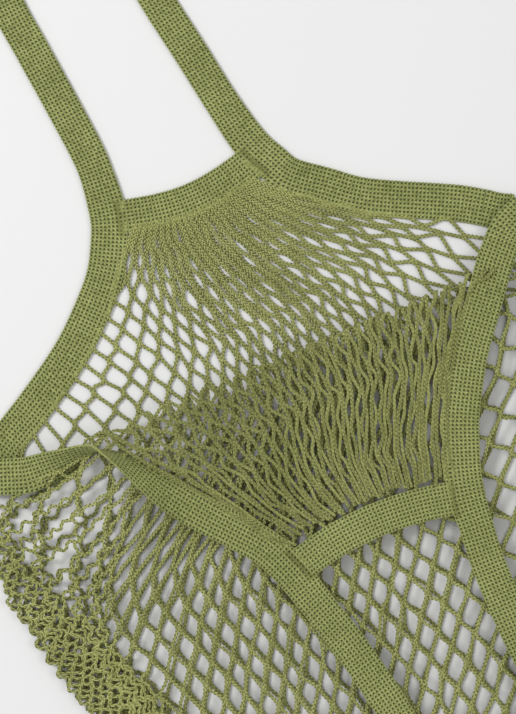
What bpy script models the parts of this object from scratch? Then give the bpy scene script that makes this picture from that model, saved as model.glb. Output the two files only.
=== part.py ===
"""Mesh produce bag: a knitted net bag with tape-bound openings and two long tape handles.

The bag lies flat on its back panel. Its front panel is folded outwards along a straight line, so
that the front neck and the front handle lie on the body. Metres, +Z up, +Y towards the back handle.
Below, sizes are in millimetres, measured in the bag's own plan: x from its middle line, y from the
middle of the back neck. MM and middle_y() bring them into the part's frame.
"""

import math

import bmesh
import bpy
from mathutils import Vector

MM = 0.001
GAP = 0.3  # between pieces that touch

# Net body
HALF_WIDTH = 190.0  # the widest place, flat
SIDE_X = HALF_WIDTH - 30.0  # where each edge tape turns from the back to the front
FOLD_DEPTH = 107.0  # from the back neck to the fold of the front panel
WIDEST_Y = -FOLD_DEPTH - 48.0
BODY_DEPTH = 283.0  # from the widest place to the bottom
SHOULDER = 55.0  # the length over which the body widens below the turn
SHOULDER_RISE = 18.0  # and how much wider it gets there
NET_THICK = 2.6
INSIDE = 6.0  # room between the two panels
RISE_X = 53.0  # plan width of the side where the front panel rises
RISE_Y = 50.0  # the same at the bottom
BOTTOM_SHARE = 0.78  # where the side strips end and the bottom strip begins
FOLD_ROOM = 0.8  # between the front panel and the flap that lies on it

# Knitted tape
TAPE_WIDTH = 21.0
STRAP_WIDTH = 19.5
BAND_WIDTH = 19.5
TAPE_THICK = 2.2
SWING_ROOM = 0.3  # a hinge line's height above its strap
HINGE_GAP = 0.6  # between a swinging piece and the one that it leaves

# Places along the tapes
BACK_CORNERS = (-49.0, 48.5)  # the edge tapes' middles at the back neck
FRONT_CORNERS = (-28.0, 77.0)
BACK_SWING_Y = 16.5
FRONT_SWING_Y = -2 * FOLD_DEPTH - 17.5
TAPE_END = 2.6  # from a swing line to the edge tape that stops short of it
HANDLE_DROP = 190.0  # from the swing line to the middle of the tape at the top
LEFT_TURN_Y, LEFT_TURN_RADIUS = -0.916 * FOLD_DEPTH, 0.206 * FOLD_DEPTH
RIGHT_TURN_Y, RIGHT_TURN_RADIUS = -0.776 * FOLD_DEPTH, 0.159 * FOLD_DEPTH
TURN_BACK_END = 7.8  # from SIDE_X to the ends of the back edge tapes
TURN_FRONT_ENDS = (6.6, 8.3)  # and to the starts of the front ones, left and right
TURN_EDGE = 1.0  # and to the flat edge of the turn
TURN_ROOM = 2.0  # from the turn to the net below it
NET_INSET = 3.0  # from SIDE_X to the back net beside the turn
NET_LAP = 6.0  # how far the front net starts inside the left front tape
BELOW_BAND = 1.0  # from a neck band to the first point of the net's side
BAND_END = 1.0  # from a neck band's end to the side tape's edge

# Seams
SEAM_WIDTH = 4.0
SEAM_LENGTH = 20.0
SEAM_THICK = 0.5
BOTTOM_SEAM_WIDTH = 5.0
BOTTOM_SEAM_HALF = 60.0

# Each edge tape's run: (share of the way from the neck corner to the side, share of FOLD_DEPTH)
BACK_LEFT_RUN = [(0.0, -0.04), (0.037, 0.05), (0.112, 0.19), (0.22, 0.32),
                 (0.43, 0.515), (0.69, 0.69)]
BACK_RIGHT_RUN = [(0.017, 0.0), (0.08, 0.11), (0.225, 0.232), (0.357, 0.343),
                  (0.504, 0.431), (0.8, 0.586)]
FRONT_LEFT_RUN = [(0.9, 1.052), (0.76, 1.056), (0.665, 1.05), (0.606, 1.056)]
FRONT_RIGHT_RUN = [(0.86, 0.933), (0.82, 0.967)]
FLAP_LEFT_RUN = [(0.523, 1.16), (0.49, 1.226), (0.417, 1.352), (0.3, 1.518), (0.173, 1.722),
                 (0.096, 1.827), (0.054, 1.952)]
FLAP_RIGHT_RUN = [(0.7, 1.08), (0.578, 1.196), (0.418, 1.352), (0.278, 1.527), (0.173, 1.678),
                  (0.064, 1.89), (0.012, 2.06)]

# Where those runs meet the turns, as shares of FOLD_DEPTH: left and right
BACK_RUN_ENDS = (0.83, 0.67)
FRONT_RUN_STARTS = (1.03, 0.9)

# Each handle's run: (sideways from its first strap's start, share of HANDLE_DROP)
BACK_HANDLE_LEFT = [(0.0, 0.0), (1.7, 0.08), (1.7, 0.16), (-1.2, 0.33), (-4.5, 0.5), (-7.5, 0.67),
                    (-4.5, 0.85), (9.0, 0.965)]
BACK_HANDLE_RIGHT = [(-38.0, 0.965), (-26.0, 0.85), (-21.0, 0.67), (-17.3, 0.5), (-11.1, 0.31),
                     (-5.9, 0.14), (0.0, 0.0)]
FRONT_HANDLE_LEFT = [(0.0, 0.0), (6.0, 0.11), (12.0, 0.23), (20.0, 0.45), (25.0, 0.66),
                     (29.0, 0.82), (40.0, 0.95)]
FRONT_HANDLE_RIGHT = [(-14.0, 0.95), (-4.0, 0.8), (-1.0, 0.57), (-3.0, 0.34), (-3.0, 0.15),
                      (0.0, 0.0)]
BACK_CROWN_X = -16.0
FRONT_CROWN_X = 36.0
BACK_STARTS = (-46.5, 43.4)
FRONT_STARTS = (-27.5, 77.3)

# Neck bands: how far the middle of the band lies from its ends
BACK_SAG = -7.0
BACK_BAND_Y = 4.5
FRONT_SAG = 6.5
FRONT_BAND_Y = -2 * FOLD_DEPTH - 4.5

OLIVE = (0.262, 0.301, 0.107)
THREAD = (0.302, 0.296, 0.045)

FRONT_LEVEL = NET_THICK + INSIDE
FLAP_LEVEL = FRONT_LEVEL + NET_THICK + FOLD_ROOM
EDGE_LEVEL = NET_THICK + GAP


def middle_y():
    """The plan's middle along y, which becomes the part's origin."""
    top = BACK_SWING_Y + HINGE_GAP + HANDLE_DROP + STRAP_WIDTH / 2
    bottom = WIDEST_Y - BODY_DEPTH - GAP - BOTTOM_SEAM_WIDTH
    return (top + bottom) / 2


def place(x, y, z):
    return Vector((x, y - middle_y(), z)) * MM


def material(name, colour, roughness):
    made = bpy.data.materials.new(name)
    made.use_nodes = True
    shader = made.node_tree.nodes["Principled BSDF"]
    shader.inputs["Base Color"].default_value = (*colour, 1.0)
    shader.inputs["Roughness"].default_value = roughness
    shader.inputs["Metallic"].default_value = 0.0
    return made


def smooth_run(points, steps):
    """A Catmull-Rom curve through plan points, with `steps` pieces between neighbours."""
    ends = [2 * points[0] - points[1], *points, 2 * points[-1] - points[-2]]
    curve = []
    for a, b, c, d in zip(ends, ends[1:], ends[2:], ends[3:]):
        for k in range(steps):
            t = k / steps
            curve.append(0.5 * (2 * b + (c - a) * t + (2 * a - 5 * b + 4 * c - d) * t * t
                                + (3 * b - a - 3 * c + d) * t ** 3))
    return curve + [points[-1]]


def offset(run, distance):
    """The run moved sideways, to its left when the distance is positive."""
    moved = []
    for i, point in enumerate(run):
        ahead = run[min(i + 1, len(run) - 1)] - run[max(i - 1, 0)]
        side = Vector((-ahead.y, ahead.x)).normalized()
        moved.append(point + side * distance)
    return moved


def add(name, bm, colour, parent=None, roughness=0.9):
    """Finish a bmesh as one named object whose origin is its parent's, or the part's."""
    bmesh.ops.recalc_face_normals(bm, faces=bm.faces)
    if parent:
        bmesh.ops.translate(bm, verts=bm.verts, vec=-parent.location)
    mesh = bpy.data.meshes.new(name)
    bm.to_mesh(mesh)
    bm.free()
    made = bpy.data.objects.new(name, mesh)
    bpy.context.collection.objects.link(made)
    made.data.materials.append(material(name, colour, roughness))
    made.parent = parent
    return made


def thicken(bm, thick):
    """Turn a sheet into a closed plate by extruding it straight up."""
    grown = bmesh.ops.extrude_face_region(bm, geom=bm.faces[:])
    top = [v for v in grown["geom"] if isinstance(v, bmesh.types.BMVert)]
    bmesh.ops.translate(bm, verts=top, vec=(0, 0, thick * MM))


def strip(first, second, level, thick):
    """A plate between two matching lines of plan points; level gives its underside's height."""
    bm = bmesh.new()
    pairs = [[bm.verts.new(place(p.x, p.y, level(p, k))) for k, p in enumerate(pair)]
             for pair in zip(first, second)]
    for (a, b), (c, d) in zip(pairs, pairs[1:]):
        bm.faces.new((a, b, d, c))
    thicken(bm, thick)
    return bm


def ribbon(run, width, level, thick, first=0, last=None):
    """A flat tape along part of a run; every cross-section is level at its middle's height."""
    span = slice(first, len(run) if last is None else last + 1)
    heights = [level(p) for p in run[span]]
    left, right = offset(run, width / 2)[span], offset(run, -width / 2)[span]
    bm = bmesh.new()
    pairs = [[bm.verts.new(place(p.x, p.y, z)) for p in pair]
             for pair, z in zip(zip(left, right), heights)]
    for (a, b), (c, d) in zip(pairs, pairs[1:]):
        bm.faces.new((a, b, d, c))
    thicken(bm, thick)
    return bm


def plate(outline, level, thick):
    bm = bmesh.new()
    bm.faces.new([bm.verts.new(place(p.x, p.y, level)) for p in outline])
    bmesh.ops.triangulate(bm, faces=bm.faces[:])
    thicken(bm, thick)
    return bm


def edge_points(corner_x, side_x, shares, first=None, last=None):
    points = [Vector((corner_x + s * (side_x - corner_x), -FOLD_DEPTH * t)) for s, t in shares]
    return smooth_run([first] * bool(first) + points + [last] * bool(last), 2)


def half_width(share, width, depth):
    """Half the body's width at a share of the way from its widest place to its bottom."""
    if share >= 0:
        return width * math.sqrt(max(0.0, 1 - share ** 1.5))
    up = min(1.0, -share * depth / SHOULDER)
    return width - SHOULDER_RISE * (1 - math.cos(up * math.pi / 2))


def outer(share, side):
    return Vector((side * half_width(share, HALF_WIDTH, BODY_DEPTH), WIDEST_Y - share * BODY_DEPTH))


def inner(share, side):
    """The matching point where the front panel has risen to its full height."""
    wide, deep = HALF_WIDTH - RISE_X, BODY_DEPTH - RISE_Y
    x = wide if share < 0 else half_width(share, wide, deep)
    return Vector((side * x, WIDEST_Y - share * (BODY_DEPTH if share < 0 else deep)))


def shares(first, last, count):
    return [first + (last - first) * i / count for i in range(count + 1)]


def closing(first, last, count):
    """Shares that crowd together towards the last, where the outline bends most."""
    return [last - (last - first) * (1 - i / count) ** 1.5 for i in range(count + 1)]


def share_at(y):
    return (WIDEST_Y - y) / BODY_DEPTH


def front_level(point):
    """The front panel's underside: low at the side and full height further in."""
    rise = min(1.0, max(0.0, (HALF_WIDTH - abs(point.x)) / RISE_X))
    return EDGE_LEVEL + (FRONT_LEVEL - EDGE_LEVEL) * rise


for old in list(bpy.data.objects):
    bpy.data.objects.remove(old, do_unlink=True)

# ---- Runs of the tapes ----
back_starts = [Vector((x, BACK_SWING_Y - TAPE_END)) for x in BACK_STARTS]
front_ends = [Vector((x, FRONT_SWING_Y + TAPE_END)) for x in FRONT_STARTS]
back_ends = [Vector((side * (SIDE_X - TURN_BACK_END), -FOLD_DEPTH * t))
             for side, t in zip((-1, 1), BACK_RUN_ENDS)]
front_starts = [Vector((side * (SIDE_X - short), -FOLD_DEPTH * t))
                for side, short, t in zip((-1, 1), TURN_FRONT_ENDS, FRONT_RUN_STARTS)]
back_left = edge_points(BACK_CORNERS[0], -SIDE_X, BACK_LEFT_RUN, back_starts[0], back_ends[0])
back_right = edge_points(BACK_CORNERS[1], SIDE_X, BACK_RIGHT_RUN, back_starts[1], back_ends[1])
front_left = edge_points(FRONT_CORNERS[0], -SIDE_X, FRONT_LEFT_RUN, first=front_starts[0])
front_right = edge_points(FRONT_CORNERS[1], SIDE_X, FRONT_RIGHT_RUN, first=front_starts[1])
flap_left = edge_points(FRONT_CORNERS[0], -SIDE_X, FLAP_LEFT_RUN, last=front_ends[0])
flap_right = edge_points(FRONT_CORNERS[1], SIDE_X, FLAP_RIGHT_RUN, last=front_ends[1])


def band_run(left_tape, right_tape, y, sag):
    """A neck band's middle line: a shallow arc between the side tapes."""
    reach = TAPE_WIDTH / 2 + BAND_END
    left = max(p.x for p in left_tape if abs(p.y - y) < BAND_WIDTH * 0.7) + reach
    right = min(p.x for p in right_tape if abs(p.y - y) < BAND_WIDTH * 0.7) - reach
    return [Vector((left + (right - left) * t, y + sag * math.sin(math.pi * t)))
            for t in shares(0.0, 1.0, 8)]


back_band = band_run(back_left, back_right, BACK_BAND_Y, BACK_SAG)
front_band = band_run(flap_left, flap_right, FRONT_BAND_Y, FRONT_SAG)


def handle_run(starts, left, crown_x, right, swing_y, towards):
    """A handle's whole middle line, from its left strap over the top to its right strap."""
    start_y = swing_y + towards * HINGE_GAP
    points = [Vector((starts[0] + x, start_y + towards * HANDLE_DROP * t)) for x, t in left]
    points.append(Vector((crown_x, start_y + towards * HANDLE_DROP)))
    points += [Vector((starts[1] + x, start_y + towards * HANDLE_DROP * t)) for x, t in right]
    return smooth_run(points, 3), 3 * len(left)


# ---- Root body: net, back neck band, edge tapes ----
reach = TAPE_WIDTH / 2 + GAP
under_band = offset(back_band, -(BAND_WIDTH / 2 + GAP))
along_right = [p for p in offset(back_right, -reach) if p.y < under_band[-1].y - BELOW_BAND]
along_left = [p for p in offset(back_left, reach) if p.y < under_band[0].y - BELOW_BAND]
right_low = RIGHT_TURN_Y - RIGHT_TURN_RADIUS - TURN_ROOM
left_low = LEFT_TURN_Y - LEFT_TURN_RADIUS - TURN_ROOM
inset = SIDE_X - NET_INSET
right_side = [outer(s, 1) for s in closing(share_at(right_low), 1.0, 30)]
left_side = [outer(s, -1) for s in closing(share_at(left_low), 1.0, 30)][:-1]
back_outline = (under_band + along_right + [Vector((inset, right_low))] + right_side
                + left_side[::-1] + [Vector((-inset, left_low))] + along_left[::-1])
add("back_net", plate(back_outline, 0.0, NET_THICK), OLIVE)

front_low = FRONT_LEFT_RUN[1][1] * -FOLD_DEPTH - TAPE_WIDTH / 2 - GAP
right_top = front_right[-1].y - TAPE_WIDTH / 2
fold_left = flap_left[0].x + TAPE_WIDTH / 4
fold_right = flap_right[0].x - TAPE_WIDTH / 2
fold_y = -FOLD_DEPTH
top_share_left, top_share_right = share_at(front_low), share_at(right_top)
middle_side = [inner(s, 1) for s in closing(top_share_right, 1.0, 20)]
middle_left = [inner(s, -1) for s in closing(top_share_left, 1.0, 20)][:-1]
middle_outline = ([Vector((fold_left, fold_y)), Vector((fold_right, fold_y))] + middle_side
                  + middle_left[::-1] + [Vector((front_left[-1].x + NET_LAP, front_low))])
add("front_net_middle", plate(middle_outline, FRONT_LEVEL, NET_THICK), OLIVE)


def rim_level(point, row):
    return EDGE_LEVEL if row == 0 else FRONT_LEVEL


def rim(first_share, last_share, side, count):
    """One side of the front panel, which rises from the body's outline to the middle."""
    steps = shares(first_share, last_share, count)
    inside = [inner(s, side) + (outer(s, side) - inner(s, side)).normalized() * GAP
              for s in steps]
    return strip([outer(s, side) for s in steps], inside, rim_level, NET_THICK)


add("front_net_left_side", rim(top_share_left, BOTTOM_SHARE, -1, 12), OLIVE)
add("front_net_right_side", rim(top_share_right, BOTTOM_SHARE, 1, 12), OLIVE)

low_share = BOTTOM_SHARE + 0.004
low_right = closing(low_share, 1.0, 10)
low_left = low_right[:-1][::-1]
bottom_pairs = ([(outer(s, 1), inner(s, 1)) for s in low_right]
                + [(outer(s, -1), inner(s, -1)) for s in low_left])
bottom_inside = [b + (a - b).normalized() * GAP for a, b in bottom_pairs]
add("front_net_bottom", strip([a for a, b in bottom_pairs], bottom_inside, rim_level, NET_THICK),
    OLIVE)

bottom_run = [a for a, b in bottom_pairs if abs(a.x) < BOTTOM_SEAM_HALF]
seam_run = offset(bottom_run, GAP + BOTTOM_SEAM_WIDTH / 2)
add("bottom_seam", ribbon(seam_run, BOTTOM_SEAM_WIDTH, lambda p: 0.0, EDGE_LEVEL + NET_THICK),
    OLIVE)

add("back_neck_band", ribbon(back_band, BAND_WIDTH, lambda p: 0.0, TAPE_THICK), OLIVE)
add("left_edge_tape_back", ribbon(back_left, TAPE_WIDTH, lambda p: 0.0, TAPE_THICK), OLIVE)
add("right_edge_tape_back", ribbon(back_right, TAPE_WIDTH, lambda p: 0.0, TAPE_THICK), OLIVE)
add("left_edge_tape_front", ribbon(front_left, TAPE_WIDTH, front_level, TAPE_THICK), OLIVE)
add("right_edge_tape_front", ribbon(front_right, TAPE_WIDTH, front_level, TAPE_THICK), OLIVE)


def turn(side, y, radius):
    """The tape's turn round the side: a half disc, as tall as the front tape's start."""
    centre = Vector((side * (SIDE_X - TURN_EDGE), y))
    angles = [math.pi * i / 10 - math.pi / 2 for i in range(11)]
    outline = [centre + Vector((side * math.cos(a), math.sin(a))) * radius for a in angles]
    return plate(outline, 0.0, front_level(centre) + TAPE_THICK)


add("left_edge_tape_turn", turn(-1, LEFT_TURN_Y, LEFT_TURN_RADIUS), OLIVE)
add("right_edge_tape_turn", turn(1, RIGHT_TURN_Y, RIGHT_TURN_RADIUS), OLIVE)


def corner_seam(run, corner_y, side, top):
    """The zigzag seam on the side tape's edge where a neck band's end is sewn under it."""
    inside = offset(run, -side * (TAPE_WIDTH / 2 - SEAM_WIDTH / 2 - 1.0))
    line = [p for p in inside if abs(p.y - corner_y) < SEAM_LENGTH / 2]
    return ribbon(line, SEAM_WIDTH, lambda p: top + GAP, SEAM_THICK)


add("back_left_corner_seam", corner_seam(back_left, BACK_BAND_Y, -1, TAPE_THICK), THREAD)
add("back_right_corner_seam", corner_seam(back_right, BACK_BAND_Y, 1, TAPE_THICK), THREAD)

# ---- Flap: the top of the front panel, folded down about the fold line ----
flap_hinge = bpy.data.objects.new("front_flap", None)
flap_hinge.location = place(0, fold_y, FLAP_LEVEL - FOLD_ROOM / 2)
bpy.context.collection.objects.link(flap_hinge)

over_band = offset(front_band, BAND_WIDTH / 2 + GAP)
flap_left_side = [p for p in offset(flap_left, reach) if p.y > over_band[0].y + BELOW_BAND]
flap_right_side = [p for p in offset(flap_right, -reach) if p.y > over_band[-1].y + BELOW_BAND]
flap_top = fold_y - HINGE_GAP
flap_outline = ([Vector((flap_left_side[0].x, flap_top)), Vector((flap_right_side[0].x, flap_top))]
                + [p for p in flap_right_side if p.y < flap_top - BELOW_BAND] + over_band[::-1]
                + [p for p in flap_left_side if p.y < flap_top - BELOW_BAND][::-1])
add("front_flap_net", plate(flap_outline, FLAP_LEVEL, NET_THICK), OLIVE, flap_hinge)


def flap_level(point):
    return FLAP_LEVEL


add("front_neck_band", ribbon(front_band, BAND_WIDTH, flap_level, TAPE_THICK), OLIVE, flap_hinge)
add("left_flap_tape", ribbon(flap_left, TAPE_WIDTH, flap_level, TAPE_THICK), OLIVE, flap_hinge)
add("right_flap_tape", ribbon(flap_right, TAPE_WIDTH, flap_level, TAPE_THICK), OLIVE, flap_hinge)
seam_top = FLAP_LEVEL + TAPE_THICK
add("front_left_corner_seam", corner_seam(flap_left, FRONT_BAND_Y, -1, seam_top), THREAD,
    flap_hinge)
add("front_right_corner_seam", corner_seam(flap_right, FRONT_BAND_Y, 1, seam_top), THREAD,
    flap_hinge)


# ---- Handles ----
def handle(name, starts, left, crown_x, right, swing_y, towards, level, parent):
    """Two straps that meet at the top under a seam, swinging about a line across their starts."""
    hinge = bpy.data.objects.new(name, None)
    hinge_height = level + TAPE_THICK + SWING_ROOM
    hinge.location = place(0, swing_y, hinge_height)
    if parent:
        hinge.location -= parent.location
        hinge.parent = parent
    bpy.context.collection.objects.link(hinge)
    run, crown = handle_run(starts, left, crown_x, right, swing_y, towards)
    top = run[crown]
    for side, meet in ((-1, -GAP / 2), (1, GAP / 2)):
        run[crown] = top + Vector((meet, 0))
        span = (0, crown) if side < 0 else (crown, None)
        body = ribbon(run, STRAP_WIDTH, lambda p: level, TAPE_THICK, *span)
        add_under(f"{name}_{'left' if side < 0 else 'right'}_strap", body, OLIVE, hinge, parent)
    seam_run = [top + Vector((SEAM_WIDTH * k, 0)) for k in (-1, 0, 1)]
    seam = ribbon(seam_run, STRAP_WIDTH - 2 * GAP, lambda p: level + TAPE_THICK + GAP, SEAM_THICK)
    add_under(f"{name}_seam", seam, THREAD, hinge, parent)


def add_under(name, bm, colour, hinge, grandparent):
    """Parent a piece to a hinge that itself may sit under another hinge."""
    if grandparent:
        bmesh.ops.translate(bm, verts=bm.verts, vec=-grandparent.location)
    add(name, bm, colour, hinge)


handle("back_handle", BACK_STARTS, BACK_HANDLE_LEFT, BACK_CROWN_X, BACK_HANDLE_RIGHT,
       BACK_SWING_Y, 1, 0.0, None)
handle("front_handle", FRONT_STARTS, FRONT_HANDLE_LEFT, FRONT_CROWN_X, FRONT_HANDLE_RIGHT,
       FRONT_SWING_Y, -1, FLAP_LEVEL, flap_hinge)
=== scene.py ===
# %% [markdown]
# # A knitted net produce bag
#
# The bag lies flat on a table. Two panels of open diamond net make its body, knitted tapes bind
# its opening, and there are two long tape handles. The front neck is folded outwards, so
# the inside of the back panel shows through the opening. The frame gives the positions of every
# solid part and hinge line, and this lesson makes the cloth that takes their place.

# %% Load the frame
import math

import bmesh
import bpy
import numpy as np
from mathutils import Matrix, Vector


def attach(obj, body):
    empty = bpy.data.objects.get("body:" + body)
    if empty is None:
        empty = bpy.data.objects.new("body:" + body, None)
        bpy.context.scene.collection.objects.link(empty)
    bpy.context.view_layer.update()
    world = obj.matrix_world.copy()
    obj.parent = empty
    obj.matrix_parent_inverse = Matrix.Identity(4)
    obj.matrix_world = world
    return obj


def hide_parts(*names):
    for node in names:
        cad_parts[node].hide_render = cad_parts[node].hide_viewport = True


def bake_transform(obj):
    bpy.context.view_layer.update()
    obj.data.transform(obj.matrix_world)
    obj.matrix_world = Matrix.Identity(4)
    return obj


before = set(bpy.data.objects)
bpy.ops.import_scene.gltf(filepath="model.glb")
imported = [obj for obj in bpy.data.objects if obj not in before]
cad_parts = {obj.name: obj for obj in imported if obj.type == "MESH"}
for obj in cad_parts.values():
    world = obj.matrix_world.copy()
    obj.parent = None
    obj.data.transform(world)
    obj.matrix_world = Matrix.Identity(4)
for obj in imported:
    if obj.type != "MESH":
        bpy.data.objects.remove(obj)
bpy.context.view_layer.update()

# %% [markdown]
# ## One plan for every piece
#
# A bag maker measures a net bag laid flat: across from its middle line, and down from the back
# neck. The same plan is used here, in millimetres, and one function takes it to metres in the
# frame. The sizes are the bag's driving sizes.

# %% The bag's plan
MM = 0.001
MIDDLE_Y = -113.225  # the plan's y at the frame's origin
FOLD_Y = -107.0  # the front panel is folded outwards here
HALF_WIDTH, WIDEST_Y, BODY_DEPTH = 190.0, -155.0, 283.0
SHOULDER, SHOULDER_RISE = 55.0, 18.0
SEAM_HALF = 60.0  # half the length of the bottom seam
SEAM_POINTS = 13
BACK_MID, FRONT_MID, FLAP_MID = 1.3, 9.9, 13.3  # the nets' mid heights
FRONT_LOW, FRONT_RISE = 4.2, 5.7  # the front net climbs from the side by this much
RISE_WIDTH = 53.0
FOLD_RADIUS = (FLAP_MID - FRONT_MID) / 2


def to_frame(points):
    """Plan millimetres (x, y, z) to frame metres."""
    return (np.asarray(points, float) - (0.0, MIDDLE_Y, 0.0)) * MM


def outline_half_width(y):
    """Half the body's width at a height of the plan."""
    share = (WIDEST_Y - np.asarray(y, float)) / BODY_DEPTH
    below = HALF_WIDTH * np.sqrt(np.clip(1 - np.clip(share, 0, 1) ** 1.5, 0, 1))
    up = np.clip(-share * BODY_DEPTH / SHOULDER, 0, 1)
    return below - SHOULDER_RISE * (1 - np.cos(up * math.pi / 2))


def front_height(x, y):
    """The front net's mid height, which falls to the back net's at the body's outline."""
    share = np.clip((WIDEST_Y - y) / BODY_DEPTH, 0, 1)
    near = np.sqrt(np.clip((x / HALF_WIDTH) ** 2 + share ** 1.5, 0, 1.2))
    inside = np.where(y > WIDEST_Y, outline_half_width(y) - np.abs(x), (1 - near) * HALF_WIDTH)
    return FRONT_LOW + FRONT_RISE * np.clip(inside / RISE_WIDTH, 0, 1)


print("body at its widest:", 2 * HALF_WIDTH, "mm")

# %% [markdown]
# ## Smooth lines
#
# Tapes and cords follow soft curves with no corners. A Catmull-Rom curve goes through every
# given point, and cutting it into equal steps keeps each stitch the same size along it. Extra
# columns, such as height, roll or width, are carried along with the position.

# %% A line in equal steps


def smooth_line(points, step):
    p = np.array(points, float)
    ends = np.vstack([2 * p[0] - p[1], p, 2 * p[-1] - p[-2]])
    t = np.linspace(0, 1, 16, endpoint=False)[:, None]
    fine = []
    for a, b, c, d in zip(ends, ends[1:], ends[2:], ends[3:]):
        fine.append(0.5 * (2 * b + (c - a) * t + (2 * a - 5 * b + 4 * c - d) * t ** 2
                           + (3 * b - a - 3 * c + d) * t ** 3))
    fine = np.vstack(fine + [p[-1:]])
    along = np.concatenate([[0], np.cumsum(np.linalg.norm(np.diff(fine[:, :2], axis=0), axis=1))])
    at = np.linspace(0, along[-1], max(2, round(along[-1] / step)) + 1)
    return np.column_stack([np.interp(at, along, column) for column in fine.T])


def line_length(points):
    return float(np.linalg.norm(np.diff(np.array(points)[:, :2], axis=0), axis=1).sum())


# %% [markdown]
# ## Folds
#
# The front panel and the edge tapes are knitted flat and then folded. So each is laid out flat
# here too, and one mapping rolls it over a crease: points before the crease stay, points past it
# go round a small half circle and come back on top.

# %% Roll over a crease


def roll_over(past, height, low, radius):
    """Distance past the crease and height off the cloth, to (distance, z) after the fold."""
    angle = np.clip(past / radius, 0, math.pi)
    out = (radius - height) * np.sin(angle)
    out = out + np.minimum(past, 0) - np.maximum(past - math.pi * radius, 0)
    return out, low + radius - (radius - height) * np.cos(angle)


print("fold radius:", round(FOLD_RADIUS, 2), "mm")

# %% [markdown]
# ## Camera, light and table
#
# The bag is seen from straight above, turned a little on the table. A long lens keeps the flat
# cloth free of perspective. Two large soft lamps and a pale sky give an even light, with faint
# shadows under the tapes.

# %% Camera, lamps and floor
TURN = math.radians(-23.0)
AIM = Vector((-0.0004, 0.0129, 0.008))
DISTANCE = 1.2
VIEW_HEIGHT = 0.408

camera_data = bpy.data.cameras.new("camera")
camera_data.sensor_width = 36.0
camera_data.lens = 36.0 * DISTANCE / VIEW_HEIGHT
camera = bpy.data.objects.new("camera", camera_data)
camera.location = AIM + Vector((0, 0, DISTANCE))
camera.rotation_euler = (0, 0, TURN)
bpy.context.collection.objects.link(camera)
bpy.context.scene.camera = camera


def soft_lamp(name, where, size, power):
    lamp = bpy.data.lights.new(name, "AREA")
    lamp.shape, lamp.size, lamp.energy = "DISK", size, power
    holder = bpy.data.objects.new(name, lamp)
    holder.location = where
    holder.rotation_euler = (AIM - Vector(where)).to_track_quat("-Z", "Y").to_euler()
    bpy.context.collection.objects.link(holder)


soft_lamp("key_lamp", (-0.9, 0.9, 1.5), 0.7, 17.0)
soft_lamp("fill_lamp", (1.2, -0.6, 1.6), 1.2, 6.0)
sky = bpy.data.worlds.new("studio")
sky.use_nodes = True
sky.node_tree.nodes["Background"].inputs["Color"].default_value = (1.0, 1.0, 1.0, 1.0)
sky.node_tree.nodes["Background"].inputs["Strength"].default_value = 0.55
bpy.context.scene.world = sky
bpy.context.scene.view_settings.view_transform = "Standard"

floor_bm = bmesh.new()
bmesh.ops.create_grid(floor_bm, x_segments=1, y_segments=1, size=4.0)
bmesh.ops.translate(floor_bm, verts=floor_bm.verts, vec=(0, 0, -0.0002))
floor_mesh = bpy.data.meshes.new("table_top")
floor_bm.to_mesh(floor_mesh)
floor_bm.free()
floor = bpy.data.objects.new("table_top", floor_mesh)
bpy.context.collection.objects.link(floor)
floor_paint = bpy.data.materials.new("pale_table")
floor_paint.use_nodes = True
floor_shader = floor_paint.node_tree.nodes["Principled BSDF"]
floor_shader.inputs["Base Color"].default_value = (0.86, 0.86, 0.86, 1.0)
floor_shader.inputs["Roughness"].default_value = 0.7
floor.data.materials.append(floor_paint)
print("lens:", round(camera_data.lens, 1), "mm")

# %% [markdown]
# ## Cotton yarn
#
# Dyed cotton isn't one flat green. Each ply catches light, fibres stand off the surface as a
# faint bloom, and the dye takes a little unevenly over a hand's breadth. One group makes those
# colours for every yarn in the bag: slow patches, fine fibres, and a height for the bump. It also
# paints shade: the relief says how proud a point stands, low points are mixed towards a dark
# painted shade colour, and a low and a high value sharpen where it darkens.

# %% The cotton group, with its painted shade


def socket(group, name, way, kind, value=None):
    made = group.interface.new_socket(name=name, in_out=way, socket_type=kind)
    if value is not None:
        made.default_value = value


cotton = bpy.data.node_groups.new("dye_and_painted_shade", "ShaderNodeTree")
socket(cotton, "Light", "INPUT", "NodeSocketColor", (0.3, 0.35, 0.12, 1))
socket(cotton, "Dark", "INPUT", "NodeSocketColor", (0.12, 0.15, 0.04, 1))
# The painted shade colour, mixed in where the relief is low.
socket(cotton, "Painted Shade", "INPUT", "NodeSocketColor", (0.03, 0.04, 0.01, 1))
socket(cotton, "Relief", "INPUT", "NodeSocketFloat", 1.0)
socket(cotton, "Relief Low", "INPUT", "NodeSocketFloat", 0.0)
socket(cotton, "Relief High", "INPUT", "NodeSocketFloat", 1.0)
socket(cotton, "Fibre Scale", "INPUT", "NodeSocketFloat", 1500.0)
socket(cotton, "Patch Scale", "INPUT", "NodeSocketFloat", 35.0)
socket(cotton, "Color", "OUTPUT", "NodeSocketColor")
socket(cotton, "Height", "OUTPUT", "NodeSocketFloat")


def node(tree, kind, **values):
    made = tree.nodes.new(kind)
    for key, value in values.items():
        if hasattr(made, key):
            setattr(made, key, value)
        else:
            made.inputs[key.replace("_", " ")].default_value = value
    return made


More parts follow.
